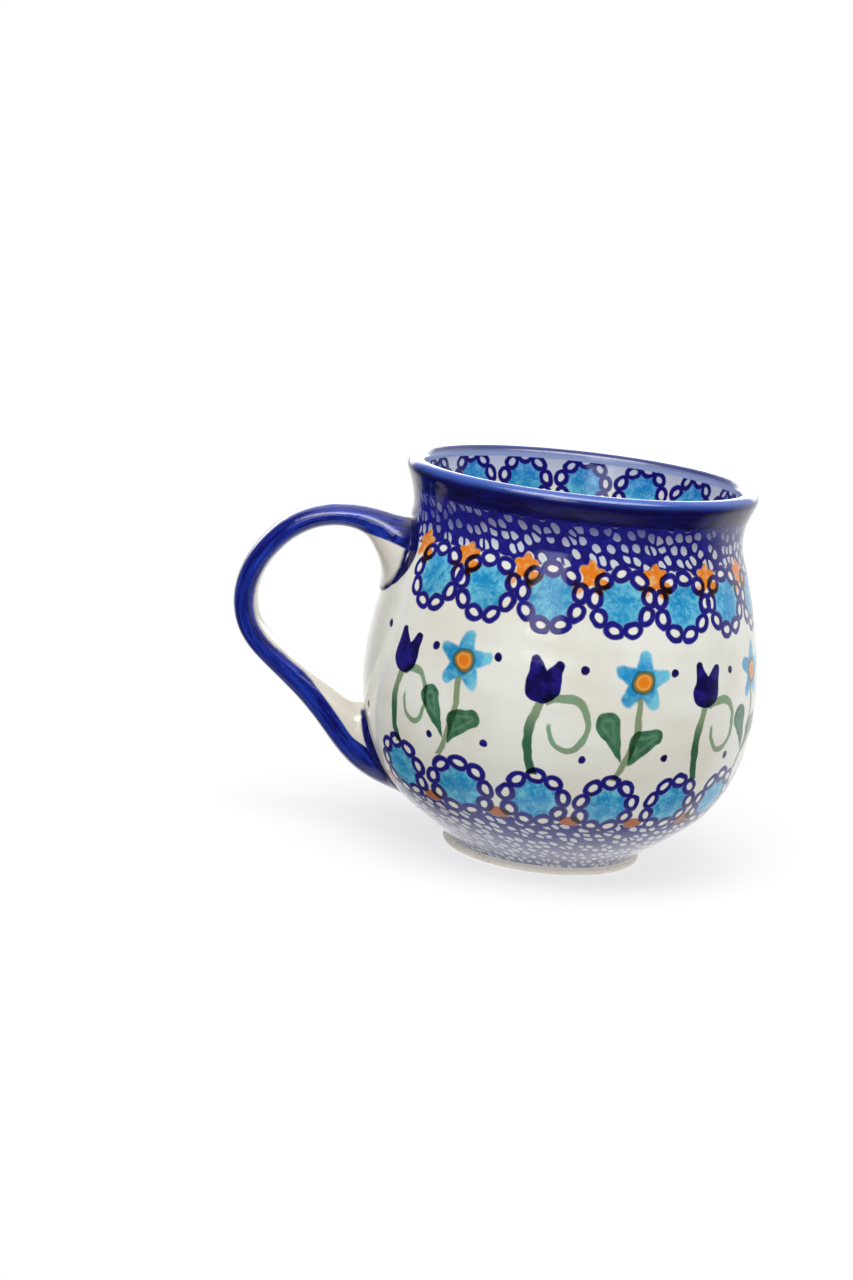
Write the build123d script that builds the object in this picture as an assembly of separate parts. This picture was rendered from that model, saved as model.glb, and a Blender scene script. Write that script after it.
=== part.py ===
from build123d import *
import math
import os

# Round-bellied stoneware mug with a strap handle, glazed all over but for the bare foot ring.
# The origin is the centre of the foot ring's resting plane, +Z is up and the handle points to -X.
# The glaze is a thin coat outside the clay, split where its colour or its reach changes.
# The mug has no moving parts.

# Driving dimensions, in millimetres. Those of the body are of the finished, glazed mug.
HEIGHT = 88.0
BELLY_R, BELLY_Z = 44.9, 38.5
NECK_R, NECK_Z = 37.3, 76.0
LIP_R, LIP_THICKNESS = 39.5, 4.0
FOOT_R, FOOT_HEIGHT, FOOT_WIDTH = 22.8, 1.8, 3.6
WALL = 4.2
FLOOR_Z = 6.2
RECESS_DEPTH = 1.6
GLAZE = 0.4
SLIP = 1.0
RIM_BAND_Z = 82.0
RIM_BAND_INSIDE_Z = 85.4

# The wall's curve passes these between the foot, the belly, the neck and the lip.
FOOT_NECK_R = FOOT_R - 0.8
LOWER_WALL_R, LOWER_WALL_Z = 37.7, 15.0
BOWL_R, BOWL_Z = 27.5, 10.0
UPPER_BELLY_R, UPPER_BELLY_Z = 43.6, 52.0
SHOULDER_R, SHOULDER_Z = 40.8, 64.0

FOOT_SLOPE = (1.0, 0.9)
BOWL_SLOPE = (-1.0, -0.6)

LIP_HALF = LIP_THICKNESS / 2
LIP_CENTRE_R = LIP_R - LIP_HALF
LIP_CENTRE_Z = HEIGHT - LIP_HALF
LIP_OUTER_DEG, LIP_TOP_DEG, LIP_INNER_DEG = -20.0, 90.0, 175.0

# The handle: a flat oval strap that widens into both roots. Each station along its middle is
# (distance from the axis, height, thickness, width); the first and the last lie inside the wall.
HANDLE_STATIONS = [
    (30.9, 63.1, 17.5, 27.0),
    (39.5, 68.0, 12.6, 21.5),
    (44.9, 71.4, 7.6, 15.4),
    (51.4, 72.8, 5.4, 13.4),
    (60.5, 71.0, 5.2, 13.2),
    (68.7, 64.1, 5.2, 13.2),
    (73.1, 53.4, 5.4, 13.2),
    (71.5, 45.2, 5.4, 13.2),
    (65.3, 38.6, 5.6, 13.2),
    (57.1, 32.4, 6.8, 13.6),
    (49.5, 26.3, 9.6, 14.8),
    (42.2, 20.9, 12.8, 17.6),
    (33.7, 17.2, 13.2, 20.0),
    (23.1, 15.0, 12.0, 21.0),
]
ROOT_SPLIT_Z = 45.0


def on_lip(degrees, inset=0.0):
    """The point of the lip's round edge at this angle, counted from outwards towards up."""
    turn = math.radians(degrees)
    radius = LIP_HALF - inset
    return (LIP_CENTRE_R + radius * math.cos(turn), LIP_CENTRE_Z + radius * math.sin(turn))


def along_lip(degrees):
    """The direction in which the lip's round edge runs at this angle."""
    turn = math.radians(degrees)
    return (-math.sin(turn), math.cos(turn))


def lip_arc(first, last, inset=0.0):
    middle = (first + last) / 2
    return ThreePointArc(on_lip(first, inset), on_lip(middle, inset), on_lip(last, inset))


def smooth(points, tangents, inset):
    """A curve through the points, moved by the inset to its left, which is into the clay."""
    curve = Spline(*points, tangents=tangents)
    moved = []
    for point in points:
        run = curve.tangent_at(curve.param_at_point(point))
        moved.append((point[0] - inset * run.Y, point[1] + inset * run.X))
    return Spline(*moved, tangents=tangents)


def outer_wall(inset=0.0):
    """The outside of the wall, from the foot up to the lip."""
    points = [
        (FOOT_NECK_R, FOOT_HEIGHT),
        (LOWER_WALL_R, LOWER_WALL_Z),
        (BELLY_R, BELLY_Z),
        (UPPER_BELLY_R, UPPER_BELLY_Z),
        (SHOULDER_R, SHOULDER_Z),
        (NECK_R, NECK_Z),
        on_lip(LIP_OUTER_DEG),
    ]
    return smooth(points, [FOOT_SLOPE, along_lip(LIP_OUTER_DEG)], inset)


def inner_wall(inset=0.0):
    """The inside of the wall, from the lip down into the bowl."""
    points = [
        on_lip(LIP_INNER_DEG),
        (NECK_R - WALL, NECK_Z),
        (SHOULDER_R - WALL, SHOULDER_Z),
        (UPPER_BELLY_R - WALL, UPPER_BELLY_Z),
        (BELLY_R - WALL, BELLY_Z),
        (LOWER_WALL_R - WALL, LOWER_WALL_Z + WALL / 2),
        (BOWL_R, BOWL_Z),
    ]
    return smooth(points, [along_lip(LIP_INNER_DEG), BOWL_SLOPE], inset)


def bowl_floor(inset=0.0):
    """The rest of the inside, from the bowl to the floor's centre."""
    return smooth([(BOWL_R, BOWL_Z), (0.0, FLOOR_Z)], [BOWL_SLOPE, (-1.0, 0.0)], inset)


def turned(outline):
    """The solid that a closed outline in (radius, height) sweeps round the Z axis."""
    return revolve(Plane.XZ * make_face(outline), axis=Axis.Z, revolution_arc=360)


def slab(low, high):
    """Everything between two heights, wider than the mug."""
    return Pos(0, 0, (low + high) / 2) * Cylinder(2 * HEIGHT, high - low)


def make_body():
    """The clay shell: foot ring, recessed underside, wall and rolled lip."""
    wall = outer_wall(GLAZE)
    inside = inner_wall(GLAZE)
    floor = bowl_floor(GLAZE)
    ring_inner = FOOT_R - FOOT_WIDTH
    ceiling = RECESS_DEPTH + GLAZE
    underside = Polyline(
        floor @ 1.0,
        (0.0, ceiling),
        (ring_inner - RECESS_DEPTH / 2, ceiling),
        (ring_inner, 0.0),
        (FOOT_R, 0.0),
        wall @ 0.0,
    )
    lip = lip_arc(LIP_OUTER_DEG, LIP_INNER_DEG, GLAZE)
    return turned([*underside.edges(), wall, lip, inside, floor])


def make_outer_coat():
    """Glaze outside, from just above the foot ring to the top of the lip."""
    skin = outer_wall()
    clay = outer_wall(GLAZE)
    outer_arc = lip_arc(LIP_OUTER_DEG, LIP_TOP_DEG)
    clay_arc = lip_arc(LIP_OUTER_DEG, LIP_TOP_DEG, GLAZE)
    foot_end = Line(skin @ 0.0, clay @ 0.0)
    top_end = Line(outer_arc @ 1.0, clay_arc @ 1.0)
    return turned([skin, outer_arc, top_end, clay_arc, clay, foot_end])


def make_inner_coat():
    """Glaze inside, from the top of the lip to the middle of the floor."""
    skin = [inner_wall(), bowl_floor()]
    clay = [inner_wall(GLAZE), bowl_floor(GLAZE)]
    inner_arc = lip_arc(LIP_TOP_DEG, LIP_INNER_DEG)
    clay_arc = lip_arc(LIP_TOP_DEG, LIP_INNER_DEG, GLAZE)
    top_end = Line(inner_arc @ 0.0, clay_arc @ 0.0)
    floor_end = Line(skin[1] @ 1.0, clay[1] @ 1.0)
    return turned([inner_arc, *skin, floor_end, *clay, clay_arc, top_end])


def make_base_glaze():
    """The glazed disc in the recess under the floor."""
    radius = FOOT_R - FOOT_WIDTH - RECESS_DEPTH / 2
    return Pos(0, 0, RECESS_DEPTH + GLAZE / 2) * Cylinder(radius, GLAZE)


def full_to(inset):
    """The mug's outer form as a plug without a hollow, its wall moved inwards by the inset."""
    wall = outer_wall(inset)
    bottom = wall @ 0.0
    top = wall @ 1.0
    cap = Polyline(top, (0.0, top.Y), (0.0, bottom.Y), bottom)
    return turned([wall, *cap.edges()])


def strap(inset):
    """The handle's oval strap with both roots running on into the wall."""
    middle = Spline(*[(-reach, 0.0, height) for reach, height, _, _ in HANDLE_STATIONS])
    sections = []
    for reach, height, thickness, width in HANDLE_STATIONS:
        place = (-reach, 0.0, height)
        run = middle.tangent_at(middle.param_at_point(place))
        across = Plane(origin=place, x_dir=(0.0, 1.0, 0.0), z_dir=run)
        sections.append(across * Ellipse(width / 2 - inset, thickness / 2 - inset))
    return loft(sections)


def build():
    clay_strap = strap(GLAZE)
    outer_coat = make_outer_coat() - clay_strap
    inner_coat = make_inner_coat()
    slip = clay_strap & (full_to(GLAZE - SLIP) - full_to(GLAZE))
    above_rim_line = slab(RIM_BAND_Z, HEIGHT + 1.0)
    above_inner_line = slab(RIM_BAND_INSIDE_Z, HEIGHT + 1.0)
    return {
        "body": make_body(),
        "handle": clay_strap - full_to(GLAZE - SLIP),
        "upper_slip_joint": slip & slab(ROOT_SPLIT_Z, HEIGHT),
        "lower_slip_joint": slip & slab(0.0, ROOT_SPLIT_Z),
        "outer_glaze": outer_coat - above_rim_line,
        "rim_glaze": (outer_coat & above_rim_line) + (inner_coat & above_inner_line),
        "inner_glaze": inner_coat - above_inner_line,
        "base_glaze": make_base_glaze(),
        "handle_glaze": (strap(0.0) - full_to(0.0)) - clay_strap,
    }


os.makedirs("parts", exist_ok=True)
for name, piece in build().items():
    solids = piece.solids()
    print(name, len(solids), round(sum(solid.volume for solid in solids), 1))
    export_step(piece if len(solids) > 1 else solids[0], f"parts/{name}.step")
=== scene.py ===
import bpy
import math
import numpy as np
from types import SimpleNamespace
from mathutils import Matrix, Vector


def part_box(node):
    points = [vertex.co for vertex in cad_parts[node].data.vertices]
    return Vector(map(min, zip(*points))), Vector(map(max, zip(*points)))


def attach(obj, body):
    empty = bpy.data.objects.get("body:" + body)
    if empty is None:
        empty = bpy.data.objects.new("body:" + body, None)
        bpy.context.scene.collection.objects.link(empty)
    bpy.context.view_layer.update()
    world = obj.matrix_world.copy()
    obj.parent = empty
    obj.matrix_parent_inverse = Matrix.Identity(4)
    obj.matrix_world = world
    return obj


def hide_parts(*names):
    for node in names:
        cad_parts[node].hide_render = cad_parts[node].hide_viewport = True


# A hand-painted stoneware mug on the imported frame: axis on Z, handle towards -X, camera looking along +Y.
# Shapes and decoration are worked out in millimetres and turned into metres when a mesh is made.
# Decoration is drawn on the unrolled wall: u runs round it, v runs up along its curve from the foot.

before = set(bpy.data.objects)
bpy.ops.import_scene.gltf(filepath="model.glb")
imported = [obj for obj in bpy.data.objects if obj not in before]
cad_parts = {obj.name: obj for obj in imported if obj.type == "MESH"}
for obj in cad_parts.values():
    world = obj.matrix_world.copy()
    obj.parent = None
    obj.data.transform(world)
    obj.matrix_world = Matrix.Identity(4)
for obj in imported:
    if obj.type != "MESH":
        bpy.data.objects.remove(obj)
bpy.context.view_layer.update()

MM = 0.001
DEGREES = 180 / math.pi

# ------------------------------------------------------------------ sizes shared with the frame

def low_corner(node):
    """The lowest corner of a CAD node's box, in millimetres."""
    return [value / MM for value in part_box(node)[0]]


def high_corner(node):
    return [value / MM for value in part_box(node)[1]]


HEIGHT = high_corner("rim_glaze")[2]
GLAZE = HEIGHT - high_corner("body")[2]
RIM_BAND_Z = low_corner("rim_glaze")[2]
RIM_INSIDE_Z = high_corner("inner_glaze")[2]
FLOOR_Z = low_corner("inner_glaze")[2] + GLAZE
BASE_R, _, BASE_Z = high_corner("base_glaze")

# The wall passes these, as in the clay part.
BELLY_R, BELLY_Z = 44.9, 38.5
NECK_R, NECK_Z = 37.3, 76.0
BELOW_NECK_R, BELOW_NECK_Z = 39.3, 69.0
ABOVE_NECK_R, ABOVE_NECK_Z = 37.55, 80.0
SHOULDER_R, SHOULDER_Z = 40.8, 64.0
UPPER_BELLY_R, UPPER_BELLY_Z = 43.6, 52.0
LOWER_WALL_R, LOWER_WALL_Z = 37.7, 15.0
FOOT_R, FOOT_INNER_R = 22.8, 19.2
FOOT_SLOPE, BOWL_SLOPE = (1.0, 0.9), (-1.0, -0.6)
FOOT_NECK_R, FOOT_NECK_Z = 22.0, 1.8
BOWL_R, BOWL_Z = 27.5, 10.0
WALL = 4.2
LIP_R, LIP_HALF = 39.5, 2.0
LIP_CENTRE_R, LIP_CENTRE_Z = LIP_R - LIP_HALF, HEIGHT - LIP_HALF
LIP_OUTER_DEG, LIP_INNER_DEG = -20.0, 175.0
AROUND = 288

# Stations along the strap's middle: distance from the axis, height, thickness, width.
STRAP_STATIONS = [
    (30.9, 63.1, 17.5, 27.0),
    (39.5, 68.0, 12.6, 21.5),
    (44.9, 71.4, 7.6, 15.4),
    (51.4, 72.8, 5.4, 13.4),
    (60.5, 71.0, 5.2, 13.2),
    (68.7, 64.1, 5.2, 13.2),
    (73.1, 53.4, 5.4, 13.2),
    (71.5, 45.2, 5.4, 13.2),
    (65.3, 38.6, 5.6, 13.2),
    (57.1, 32.4, 6.8, 13.6),
    (49.5, 26.3, 9.6, 14.8),
    (42.2, 20.9, 12.8, 17.6),
    (33.7, 17.2, 13.2, 20.0),
    (23.1, 15.0, 12.0, 21.0),
]
STRAP_TOP_TRIM, STRAP_BOTTOM_TRIM = 4.0, 6.0
STRAP_ROUNDNESS = 2.35
UPPER_FLARE, LOWER_FLARE = 4.2, 3.2

HANDLE_AZIMUTH = -90.0


# ------------------------------------------------------------------ curves

def curve_through(points, start=None, end=None, per_span=16):
    """A smooth cubic curve through points of any dimension; start and end are its end directions."""
    points = np.array(points, float)
    step = np.linalg.norm(np.diff(points[:, :2], axis=0), axis=1)
    count = len(points)
    matrix = np.zeros((count, count))
    right = np.zeros_like(points)
    for i in range(1, count - 1):
        matrix[i, i - 1] = 1 / step[i - 1]
        matrix[i, i] = 2 / step[i - 1] + 2 / step[i]
        matrix[i, i + 1] = 1 / step[i]
        right[i] = 3 * (points[i] - points[i - 1]) / step[i - 1] ** 2
        right[i] += 3 * (points[i + 1] - points[i]) / step[i] ** 2
    for row, near, far, length, direction in ((0, 0, 1, step[0], start), (-1, -1, -2, step[-1], end)):
        if direction is None:
            matrix[row, near], matrix[row, far] = 2, 1
            right[row] = 3 * (points[max(near, far)] - points[min(near, far)]) / length
        else:
            matrix[row, near] = 1
            right[row, :2] = np.array(direction) / np.linalg.norm(direction)
    slopes = np.linalg.solve(matrix, right)
    line = []
    for i in range(count - 1):
        for k in range(per_span):
            t = k / per_span
            line.append(
                (2 * t ** 3 - 3 * t ** 2 + 1) * points[i]
                + (t ** 3 - 2 * t ** 2 + t) * step[i] * slopes[i]
                + (3 * t ** 2 - 2 * t ** 3) * points[i + 1]
                + (t ** 3 - t ** 2) * step[i] * slopes[i + 1]
            )
    line.append(points[-1])
    return np.array(line)


def on_lip(degrees):
    turn = math.radians(degrees)
    return (LIP_CENTRE_R + LIP_HALF * math.cos(turn), LIP_CENTRE_Z + LIP_HALF * math.sin(turn))


def along_lip(degrees):
    turn = math.radians(degrees)
    return (-math.sin(turn), math.cos(turn))


def outer_profile():
    points = [
        (FOOT_NECK_R, FOOT_NECK_Z),
        (LOWER_WALL_R, LOWER_WALL_Z),
        (BELLY_R, BELLY_Z),
        (UPPER_BELLY_R, UPPER_BELLY_Z),
        (SHOULDER_R, SHOULDER_Z),
        (BELOW_NECK_R, BELOW_NECK_Z),
        (NECK_R, NECK_Z),
        (ABOVE_NECK_R, ABOVE_NECK_Z),
        on_lip(LIP_OUTER_DEG),
    ]
    return curve_through(points, FOOT_SLOPE, along_lip(LIP_OUTER_DEG), 24)


def lip_profile():
    return np.array([on_lip(angle) for angle in np.linspace(LIP_OUTER_DEG, LIP_INNER_DEG, 30)])


def inner_profile():
    points = [
        on_lip(LIP_INNER_DEG),
        (NECK_R - WALL, NECK_Z),
        (SHOULDER_R - WALL, SHOULDER_Z),
        (UPPER_BELLY_R - WALL, UPPER_BELLY_Z),
        (BELLY_R - WALL, BELLY_Z),
        (LOWER_WALL_R - WALL, LOWER_WALL_Z + WALL / 2),
        (BOWL_R, BOWL_Z),
    ]
    wall = curve_through(points, along_lip(LIP_INNER_DEG), BOWL_SLOPE, 20)
    floor = curve_through([(BOWL_R, BOWL_Z), (0.0, FLOOR_Z)], BOWL_SLOPE, (-1.0, 0.0), 20)
    return np.vstack([wall, floor[1:]])


def lengths_along(line):
    return np.concatenate([[0.0], np.cumsum(np.linalg.norm(np.diff(line, axis=0), axis=1))])


OUTSIDE = np.vstack([outer_profile(), lip_profile()[1:]])
OUTSIDE_V = lengths_along(OUTSIDE)
TOP_INDEX = int(np.argmax(OUTSIDE[:, 1]))
INSIDE = inner_profile()
INSIDE_V = lengths_along(INSIDE)


def outside_v(z):
    """How far up the outside's curve, from the foot, a height lies."""
    return float(np.interp(z, OUTSIDE[:TOP_INDEX, 1], OUTSIDE_V[:TOP_INDEX]))


def outside_radius(z):
    return np.interp(z, OUTSIDE[:TOP_INDEX, 1], OUTSIDE[:TOP_INDEX, 0])


def inside_v(z):
    """How far down the inside's curve, from the lip, a height lies."""
    return float(np.interp(-z, -INSIDE[:, 1], INSIDE_V))


# ------------------------------------------------------------------ meshes

def new_mesh(name, vertices, faces, attributes):
    """A smooth-shaded object from millimetre vertices, with named numbers kept on its points."""
    mesh = bpy.data.meshes.new(name)
    mesh.from_pydata([tuple(vertex * MM) for vertex in vertices], [], faces)
    mesh.polygons.foreach_set("use_smooth", [True] * len(mesh.polygons))
    for label, values in attributes.items():
        layer = mesh.attributes.new(label, "FLOAT", "POINT")
        layer.data.foreach_set("value", np.array(values, np.float32))
    mesh.update()
    piece = bpy.data.objects.new(name, mesh)
    bpy.context.scene.collection.objects.link(piece)
    return piece


def throwing_wobble(azimuth, z):
    """The slight unevenness of a wall thrown and trimmed by hand."""
    slow = 0.10 * np.sin(2 * azimuth + 0.05 * z + 0.6)
    ridges = 0.035 * np.sin(0.9 * z + 1.5 * np.sin(azimuth))
    return slow + ridges


def revolved(name, line, v_values, wobble=1.0):
    """The surface that a (radius, height) line sweeps round the axis, with v kept on its points."""
    azimuth = np.arange(AROUND) * 2 * math.pi / AROUND
    vertices = []
    v_on_points = []
    for (radius, z), v in zip(line, v_values):
        fade = min(1.0, radius / 20.0) * wobble
        ring = radius + fade * throwing_wobble(azimuth, z)
        vertices.extend(np.stack([ring * np.sin(azimuth), -ring * np.cos(azimuth), np.full(AROUND, z)], 1))
        v_on_points.extend([v] * AROUND)
    faces = []
    for row in range(len(line) - 1):
        for k in range(AROUND):
            following = (k + 1) % AROUND
            a, b = row * AROUND + k, row * AROUND + following
            faces.append((a, b, b + AROUND, a + AROUND))
    return new_mesh(name, vertices, faces, {"v": v_on_points})


def part_of(line, v_values, keep):
    return line[keep], v_values[keep]


def wall_coat():
    keep = np.where((OUTSIDE[:, 1] <= RIM_BAND_Z) & (OUTSIDE_V < OUTSIDE_V[TOP_INDEX]))[0]
    line, v_values = part_of(OUTSIDE, OUTSIDE_V, np.append(keep, keep[-1] + 1))
    rolled = np.array([(line[0][0] - 0.7 * GLAZE, line[0][1] - 0.2), (line[0][0] - 0.1, line[0][1] - 0.2)])
    return revolved("painted_wall", np.vstack([rolled, line]), np.concatenate([[-0.6, -0.3], v_values]))


def rim_coat():
    start = int(np.argmax((OUTSIDE[:, 1] > RIM_BAND_Z) & (OUTSIDE_V > 20)))
    down = INSIDE[:, 1] >= RIM_INSIDE_Z
    line = np.vstack([OUTSIDE[start:], INSIDE[down][1:]])
    v_values = np.concatenate([OUTSIDE_V[start:], OUTSIDE_V[-1] + INSIDE_V[down][1:]])
    return revolved("cobalt_rim", line, v_values)


def inside_coat():
    keep = np.where(INSIDE[:, 1] <= RIM_INSIDE_Z)[0]
    keep = np.insert(keep, 0, keep[0] - 1)
    line, v_values = part_of(INSIDE, INSIDE_V, keep)
    line = line.copy()
    line[-1][0] = 0.02
    return revolved("cream_inside", line, v_values, wobble=0.6)


def base_coat():
    radii = np.array([0.02, 5.0, 10.0, 15.0, BASE_R - 1.0, BASE_R - 0.1])
    sag = 0.12 * np.cos(radii / BASE_R * math.pi / 2)
    line = np.stack([radii, BASE_Z - 0.1 - sag], 1)
    return revolved("base_glaze_disc", line[::-1], radii[::-1], wobble=0.0)


def moved_inwards(line, depth):
    """A profile line moved to its left, which is into the clay."""
    run = np.gradient(line, axis=0)
    run /= np.linalg.norm(run, axis=1)[:, None]
    return line + depth * np.stack([-run[:, 1], run[:, 0]], 1)


def clay_shell():
    """The thrown clay under the glaze, bare only on its foot ring."""
    foot = [
        (0.02, BASE_Z),
        (FOOT_INNER_R - 1.0, BASE_Z),
        (FOOT_INNER_R - 0.3, BASE_Z - 0.3),
        (FOOT_INNER_R, 0.6),
        (FOOT_INNER_R + 0.2, 0.15),
        (FOOT_INNER_R + 0.7, 0.0),
        (FOOT_R - 0.8, 0.0),
        (FOOT_R - 0.25, 0.2),
        (FOOT_R, 0.7),
        (FOOT_R - 0.2, 1.1),
        (FOOT_NECK_R + 0.1, 1.5),
    ]
    above = moved_inwards(np.vstack([OUTSIDE, INSIDE[1:]]), GLAZE)
    above[-1][0] = 0.02
    line = np.vstack([foot, above])
    return revolved("clay_shell", line, lengths_along(line))


def strap(name, inset, rings=240, sides=88):
    """The handle's strap, swept along its stations and spread into the wall at both roots."""
    middle = curve_through([(-reach, z, thick, wide) for reach, z, thick, wide in STRAP_STATIONS], per_span=40)
    at = lengths_along(middle[:, :2])
    even = np.linspace(STRAP_TOP_TRIM, at[-1] - STRAP_BOTTOM_TRIM, rings)
    middle = np.stack([np.interp(even, at, middle[:, k]) for k in range(4)], 1)
    run = np.gradient(middle[:, :2], axis=0)
    run /= np.linalg.norm(run, axis=1)[:, None]
    vertices, depths, alongs, thicknesses, gaps = [], [], [], [], []
    for (x, z, thick, wide), (run_x, run_z), along in zip(middle, run, even):
        outward = np.array([run_z, 0.0, -run_x])
        for k in range(sides):
            turn = 2 * math.pi * k / sides
            c, s = math.cos(turn), math.sin(turn)
            round_off = (abs(c) ** STRAP_ROUNDNESS + abs(s) ** STRAP_ROUNDNESS) ** (-1 / STRAP_ROUNDNESS)
            up = c * round_off * (thick / 2 - inset)
            across = s * round_off * (wide / 2 - inset)
            point = np.array([x, across, z]) + up * outward
            point = spread_into_wall(point, np.array([x, 0.0, z]), c, inset, z > BELLY_Z)
            vertices.append(point)
            depths.append(thick / 2 - up)
            alongs.append(along)
            thicknesses.append(thick)
            gaps.append(math.hypot(point[0], point[1]) - outside_radius(point[2]))
    faces = []
    for row in range(rings - 1):
        for k in range(sides):
            a, b = row * sides + k, row * sides + (k + 1) % sides
            faces.append((a, b, b + sides, a + sides))
    faces.append(tuple(reversed(range(sides))))
    faces.append(tuple(range((rings - 1) * sides, rings * sides)))
    values = {"depth": depths, "along": alongs, "thick": thicknesses, "gap": gaps}
    return new_mesh(name, vertices, faces, values)


def spread_into_wall(point, centre, outwardness, inset, is_upper):
    """Flares a strap point out as it nears the wall, and keeps a buried point just under the glaze."""
    flare = UPPER_FLARE if is_upper else LOWER_FLARE
    lean = 0.62 - 0.38 * outwardness if is_upper else 0.54 - 0.46 * outwardness
    for _ in range(2):
        clear = math.hypot(point[0], point[1]) - outside_radius(point[2])
        near = min(max(1 - clear / flare, 0.0), 1.0)
        spread = flare * (1 - math.sqrt(1 - near ** 2)) * lean
        away = point - centre
        point = centre + away * (1 + 0.5 * spread / max(np.linalg.norm(away), 1.0))
    radius = math.hypot(point[0], point[1])
    buried = outside_radius(point[2]) - 1.2 - inset
    if radius < buried:
        point = point * np.array([buried / radius, buried / radius, 1.0])
    return point


# ------------------------------------------------------------------ node arithmetic

class Number:
    """A number in a node tree, so that patterns can be written as formulas."""

    def __init__(self, graph, socket):
        self.graph = graph
        self.socket = socket

    def __add__(self, other):
        return self.graph.math("ADD", self, other)

    def __sub__(self, other):
        return self.graph.math("SUBTRACT", self, other)

    def __mul__(self, other):
        return self.graph.math("MULTIPLY", self, other)

    def __truediv__(self, other):
        return self.graph.math("DIVIDE", self, other)

    def __rsub__(self, other):
        return self.graph.math("SUBTRACT", other, self)

    def __rtruediv__(self, other):
        return self.graph.math("DIVIDE", other, self)

    def __neg__(self):
        return self.graph.math("MULTIPLY", self, -1.0)

    def __abs__(self):
        return self.graph.math("ABSOLUTE", self)

    __radd__ = __add__
    __rmul__ = __mul__


class Graph:
    """One material's node tree."""

    def __init__(self, name):
        self.material = bpy.data.materials.new(name)
        self.material.use_nodes = True
        self.tree = self.material.node_tree
        self.tree.nodes.clear()

    def node(self, kind, **settings):
        node = self.tree.nodes.new(kind)
        for key, value in settings.items():
            setattr(node, key, value)
        return node

    def feed(self, socket, value):
        if isinstance(value, Number):
            self.tree.links.new(value.socket, socket)
        elif isinstance(value, bpy.types.NodeSocket):
            self.tree.links.new(value, socket)
        else:
            socket.default_value = value

    def math(self, operation, *values):
        node = self.node("ShaderNodeMath", operation=operation)
        for socket, value in zip(node.inputs, values):
            self.feed(socket, value)
        return Number(self, node.outputs[0])

    def least(self, a, b):
        return self.math("MINIMUM", a, b)

    def most(self, a, b):
        return self.math("MAXIMUM", a, b)

    def length(self, a, b):
        return self.math("SQRT", a * a + b * b)

    def wrap(self, value, half):
        return self.math("WRAP", value, half, -half)

    def above(self, a, b):
        return self.math("GREATER_THAN", a, b)

    def choose(self, condition, yes, no):
        return no + condition * (yes - no)

    def ramp(self, value, low, high):
        """0 up to low, 1 from high on, and smooth between; low may be the bigger one."""
        node = self.node("ShaderNodeMapRange", interpolation_type="SMOOTHSTEP", clamp=True)
        for socket, number in zip(node.inputs, (value, low, high)):
            self.feed(socket, number)
        return Number(self, node.outputs[0])

    def ink(self, distance, edge=0.16):
        """1 where a signed distance says inside, 0 outside, with an edge this soft in millimetres."""
        return self.ramp(distance, edge, -edge)

    def point(self, x, y, z=0.0):
        node = self.node("ShaderNodeCombineXYZ")
        for socket, value in zip(node.inputs, (x, y, z)):
            self.feed(socket, value)
        return node.outputs[0]

    def noise(self, place, scale, detail=2.0, roughness=0.5):
        node = self.node("ShaderNodeTexNoise", noise_dimensions="3D")
        self.feed(node.inputs["Vector"], place)
        node.inputs["Scale"].default_value = scale
        node.inputs["Detail"].default_value = detail
        node.inputs["Roughness"].default_value = roughness
        return Number(self, node.outputs["Fac"])

    def random(self, seed, salt=0.0):
        """Three even random numbers from a whole one."""
        node = self.node("ShaderNodeTexWhiteNoise", noise_dimensions="2D")
        self.feed(node.inputs["Vector"], self.point(seed, salt))
        split = self.node("ShaderNodeSeparateColor")
        self.feed(split.inputs[0], node.outputs["Color"])
        return [Number(self, socket) for socket in split.outputs]

    def attribute(self, label):
        node = self.node("ShaderNodeAttribute", attribute_name=label)
        return Number(self, node.outputs["Fac"])

    def position(self):
        """The place on the piece, in millimetres."""
        coordinates = self.node("ShaderNodeTexCoord")
        scaled = self.node("ShaderNodeVectorMath", operation="SCALE")
        self.feed(scaled.inputs[0], coordinates.outputs["Object"])
        scaled.inputs["Scale"].default_value = 1 / MM
        split = self.node("ShaderNodeSeparateXYZ")
        self.feed(split.inputs[0], scaled.outputs[0])
        return scaled.outputs[0], [Number(self, socket) for socket in split.outputs]

    def mix(self, amount, one, other, blend="MIX"):
        node = self.node("ShaderNodeMix", data_type="RGBA", blend_type=blend, clamp_factor=True)
        self.feed(node.inputs[0], amount)
        self.feed(node.inputs[6], one)
        self.feed(node.inputs[7], other)
        return node.outputs[2]

    def paint(self, ground, amount, colour):
        """Lays a see-through paint over the ground, as oxide under a clear glaze does."""
        bare = 1.0 - amount
        return self.mix(1.0 - bare * bare, ground, colour, "MULTIPLY")

    def finish(self, colour, roughness, height=None, height_mm=0.05, coat=0.0):
        """Ends the tree in a surface with this colour, roughness and relief."""
        surface = self.node("ShaderNodeBsdfPrincipled")
        self.feed(surface.inputs["Base Color"], colour)
        self.feed(surface.inputs["Roughness"], roughness)
        surface.inputs["IOR"].default_value = 1.52
        surface.inputs["Coat Weight"].default_value = coat
        surface.inputs["Coat Roughness"].default_value = 0.03
        if height is not None:
            bump = self.node("ShaderNodeBump")
            bump.inputs["Strength"].default_value = 1.0
            bump.inputs["Distance"].default_value = height_mm * MM
            self.feed(bump.inputs["Height"], height)
            self.feed(surface.inputs["Normal"], bump.outputs[0])
        output = self.node("ShaderNodeOutputMaterial")
        self.feed(output.inputs[0], surface.outputs[0])
        return self.material


def srgb(red, green, blue):
    """A screen colour out of 255 as the linear colour that nodes take."""
    def linear(value):
        value /= 255
        return value / 12.92 if value <= 0.04045 else ((value + 0.055) / 1.055) ** 2.4
    return (linear(red), linear(green), linear(blue), 1.0)


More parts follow.
